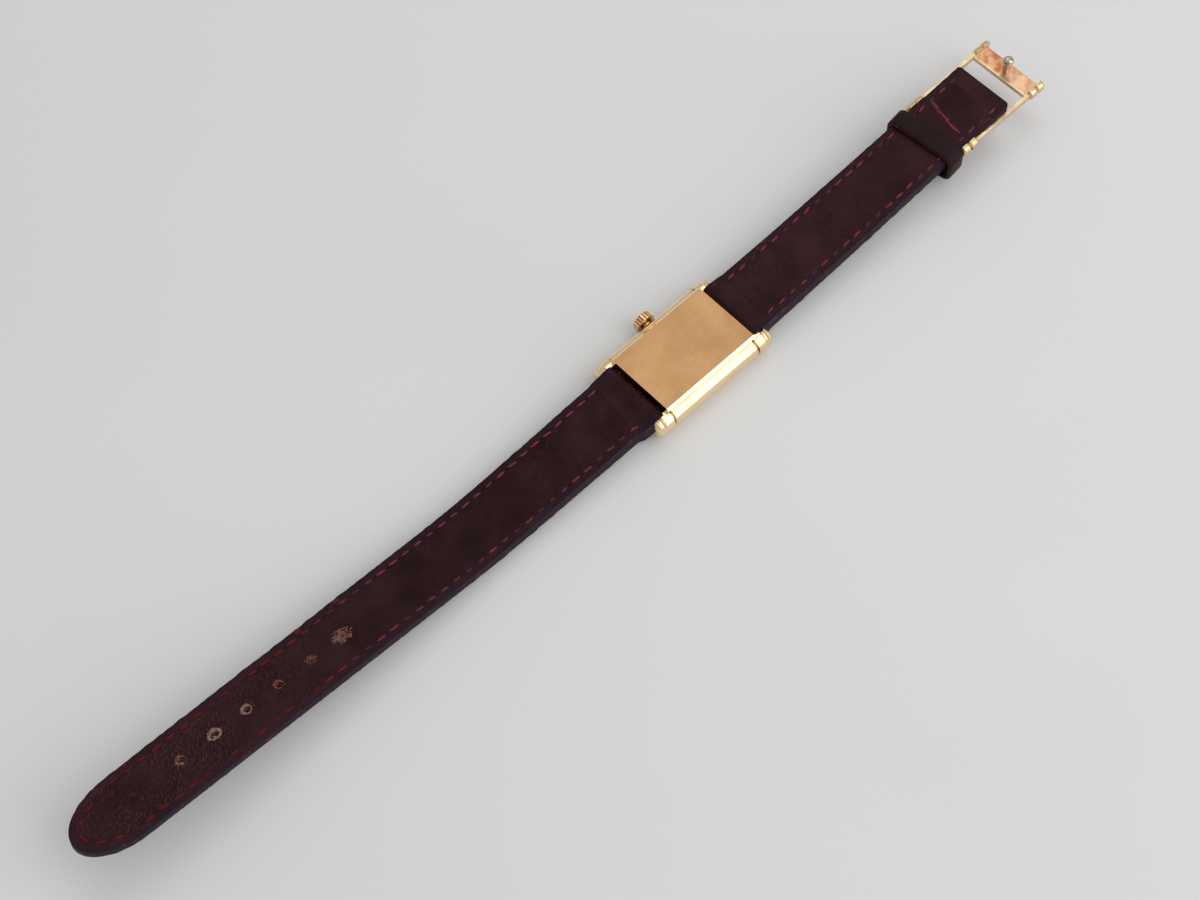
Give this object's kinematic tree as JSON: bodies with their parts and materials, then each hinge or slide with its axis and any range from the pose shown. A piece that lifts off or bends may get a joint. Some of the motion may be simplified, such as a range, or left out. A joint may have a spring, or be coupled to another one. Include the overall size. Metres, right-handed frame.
{
  "type": "wristwatch",
  "caption": "Slim rectangular wristwatch with gold-tone case, ribbed lugs, fluted crown, two-piece leather strap, sliding loop and stud buckle, lying on its crystal.",
  "frame": {"origin": "middle of the crystal's outer face, on which the watch lies", "axes": "+X to twelve o'clock and the buckle, +Y to the crown at three o'clock, +Z out of the case back to the wrist"},
  "size_m": [0.2109, 0.0187, 0.0114],
  "materials": {
    "polished_gold": "polished gold-tone plate, bright highlights",
    "satin_gold": "satin brushed gold-tone plate",
    "worn_gold": "polished gold-tone plate worn to rose copper on the plate's inner face",
    "crystal_glass": "clear mineral glass",
    "seal_black": "black rubber seal",
    "dial_cream": "matt cream lacquer",
    "marker_gold": "polished gold-tone",
    "hand_black": "black lacquer",
    "ring_plastic": "moulded black plastic",
    "movement_brass": "fine-turned brass",
    "movement_steel": "brushed steel",
    "cell_steel": "bright nickel-plated steel",
    "coil_copper": "enamelled copper wire",
    "board_green": "green circuit board",
    "bar_steel": "stainless steel",
    "stud_steel": "worn nickel silver",
    "leather_burgundy": "very dark burgundy leather, worn and creased",
    "leather_lining": "dark burgundy-brown lining leather, creased and dusty",
    "strap_filler": "grey-brown padding felt"
  },
  "bodies": {
    "case": {"case_middle": "polished_gold", "case_back": "satin_gold", "crystal": "crystal_glass", "crystal_seal": "seal_black", "dial": "dial_cream", "hour_markers": "marker_gold", "movement_ring": "ring_plastic", "main_plate": "movement_brass", "train_bridge": "movement_brass", "movement_screws": "movement_steel", "cell": "cell_steel", "cell_clamp": "movement_steel", "stator": "movement_steel", "coil_core": "movement_steel", "coil": "coil_copper", "circuit_board": "board_green", "quartz_can": "movement_steel", "case_tube": "bar_steel", "long_strap_bar_tube": "bar_steel", "long_strap_bar_spring": "bar_steel", "short_strap_bar_tube": "bar_steel", "short_strap_bar_spring": "bar_steel"},
    "long_bar_plunger_crown_side": {"long_strap_bar_plunger_crown_side": "bar_steel"},
    "long_bar_plunger_far_side": {"long_strap_bar_plunger_far_side": "bar_steel"},
    "short_bar_plunger_crown_side": {"short_strap_bar_plunger_crown_side": "bar_steel"},
    "short_bar_plunger_far_side": {"short_strap_bar_plunger_far_side": "bar_steel"},
    "long_strap": {"long_strap_outer": "leather_burgundy", "long_strap_lining": "leather_lining", "long_strap_filler": "strap_filler"},
    "short_strap": {"short_strap_outer": "leather_burgundy", "short_strap_lining": "leather_lining", "short_strap_filler": "strap_filler"},
    "loop": {"strap_loop": "leather_burgundy"},
    "buckle": {"buckle_frame": "worn_gold", "buckle_stud": "stud_steel", "buckle_bar_tube": "bar_steel", "buckle_bar_spring": "bar_steel"},
    "buckle_plunger_crown_side": {"buckle_bar_plunger_crown_side": "bar_steel"},
    "buckle_plunger_far_side": {"buckle_bar_plunger_far_side": "bar_steel"},
    "crown_slider": {"crown_seal": "seal_black"},
    "crown_and_stem": {"crown": "polished_gold", "stem": "movement_steel"},
    "sliding_pinion": {"sliding_pinion": "movement_steel"},
    "setting_lever": {"setting_lever": "movement_steel"},
    "minute_arbor": {"centre_wheel": "movement_brass", "cannon_pinion": "movement_steel", "minute_hand": "hand_black"},
    "hour_arbor": {"hour_wheel": "movement_brass", "hour_hand": "hand_black"},
    "minute_wheel": {"minute_wheel": "movement_brass"},
    "intermediate_wheel": {"intermediate_wheel": "movement_brass"},
    "rotor": {"rotor": "movement_brass"}
  },
  "joints": [
    {"name": "long_strap_hinge", "type": "hinge", "parent": "case", "child": "long_strap", "pos_m": [-0.0125, 0, 0.00295], "axis": [0, 1, 0], "range_deg": [-75, 85]},
    {"name": "short_strap_hinge", "type": "hinge", "parent": "case", "child": "short_strap", "pos_m": [0.0125, 0, 0.00295], "axis": [0, -1, 0], "range_deg": [-75, 85]},
    {"name": "loop_slide", "type": "slide", "parent": "short_strap", "child": "loop", "axis": [-0.9963, 0, -0.0854], "range_m": [0, 0.014]},
    {"name": "buckle_hinge", "type": "hinge", "parent": "short_strap", "child": "buckle", "pos_m": [0.06485, 0, 0.00687], "axis": [0, -1, 0], "range_deg": [-95, 100]},
    {"name": "long_bar_crown_side_press", "type": "slide", "parent": "case", "child": "long_bar_plunger_crown_side", "axis": [0, -1, 0], "range_m": [0, 0.00095], "stiffness_N_per_m": 400, "springref_m": -0.0008, "deforming": ["long_strap_bar_spring"]},
    {"name": "long_bar_far_side_press", "type": "slide", "parent": "case", "child": "long_bar_plunger_far_side", "axis": [0, 1, 0], "range_m": [0, 0.00095], "stiffness_N_per_m": 400, "springref_m": -0.0008, "deforming": ["long_strap_bar_spring"]},
    {"name": "short_bar_crown_side_press", "type": "slide", "parent": "case", "child": "short_bar_plunger_crown_side", "axis": [0, -1, 0], "range_m": [0, 0.00095], "stiffness_N_per_m": 400, "springref_m": -0.0008, "deforming": ["short_strap_bar_spring"]},
    {"name": "short_bar_far_side_press", "type": "slide", "parent": "case", "child": "short_bar_plunger_far_side", "axis": [0, 1, 0], "range_m": [0, 0.00095], "stiffness_N_per_m": 400, "springref_m": -0.0008, "deforming": ["short_strap_bar_spring"]},
    {"name": "buckle_bar_crown_side_press", "type": "slide", "parent": "buckle", "child": "buckle_plunger_crown_side", "axis": [0, -1, 0], "range_m": [0, 0.00075], "stiffness_N_per_m": 400, "springref_m": -0.0008, "deforming": ["buckle_bar_spring"]},
    {"name": "buckle_bar_far_side_press", "type": "slide", "parent": "buckle", "child": "buckle_plunger_far_side", "axis": [0, 1, 0], "range_m": [0, 0.00075], "stiffness_N_per_m": 400, "springref_m": -0.0008, "deforming": ["buckle_bar_spring"]},
    {"name": "crown_pull", "type": "slide", "parent": "case", "child": "crown_slider", "axis": [0, 1, 0], "range_m": [0, 0.0008]},
    {"name": "crown_turn", "type": "hinge", "parent": "crown_slider", "child": "crown_and_stem", "pos_m": [0, 0.0095, 0.00275], "axis": [0, 1, 0], "continuous": true},
    {"name": "sliding_pinion_shift", "type": "slide", "parent": "case", "child": "sliding_pinion", "axis": [0, 1, 0], "range_m": [-0.0004, 0]},
    {"name": "setting_lever_turn", "type": "hinge", "parent": "case", "child": "setting_lever", "pos_m": [0.0019, 0.0039, 0.0034], "axis": [0, 0, 1], "range_deg": [-25, 0]},
    {"name": "minute_hand_turn", "type": "hinge", "parent": "case", "child": "minute_arbor", "pos_m": [0, 0, 0.0025], "axis": [0, 0, 1], "continuous": true},
    {"name": "hour_hand_turn", "type": "hinge", "parent": "case", "child": "hour_arbor", "pos_m": [0, 0, 0.002], "axis": [0, 0, 1], "continuous": true},
    {"name": "minute_wheel_turn", "type": "hinge", "parent": "case", "child": "minute_wheel", "pos_m": [0.00152, 0.00071, 0.0021], "axis": [0, 0, 1], "continuous": true},
    {"name": "intermediate_wheel_turn", "type": "hinge", "parent": "case", "child": "intermediate_wheel", "pos_m": [0.00144, -0.00108, 0.0031], "axis": [0, 0, 1], "continuous": true},
    {"name": "rotor_turn", "type": "hinge", "parent": "case", "child": "rotor", "pos_m": [0.00274, -0.0018, 0.003], "axis": [0, 0, 1], "continuous": true}
  ],
  "couplings": [
    {"joint": "sliding_pinion_shift", "follows": "crown_pull", "ratio": -0.5},
    {"joint": "setting_lever_turn", "follows": "crown_pull", "rad_per_m": -543},
    {"joint": "hour_hand_turn", "follows": "minute_hand_turn", "ratio": 0.083333},
    {"joint": "minute_wheel_turn", "follows": "minute_hand_turn", "ratio": -0.33333},
    {"joint": "intermediate_wheel_turn", "follows": "minute_hand_turn", "ratio": -9},
    {"joint": "rotor_turn", "follows": "minute_hand_turn", "ratio": 90}
  ]
}
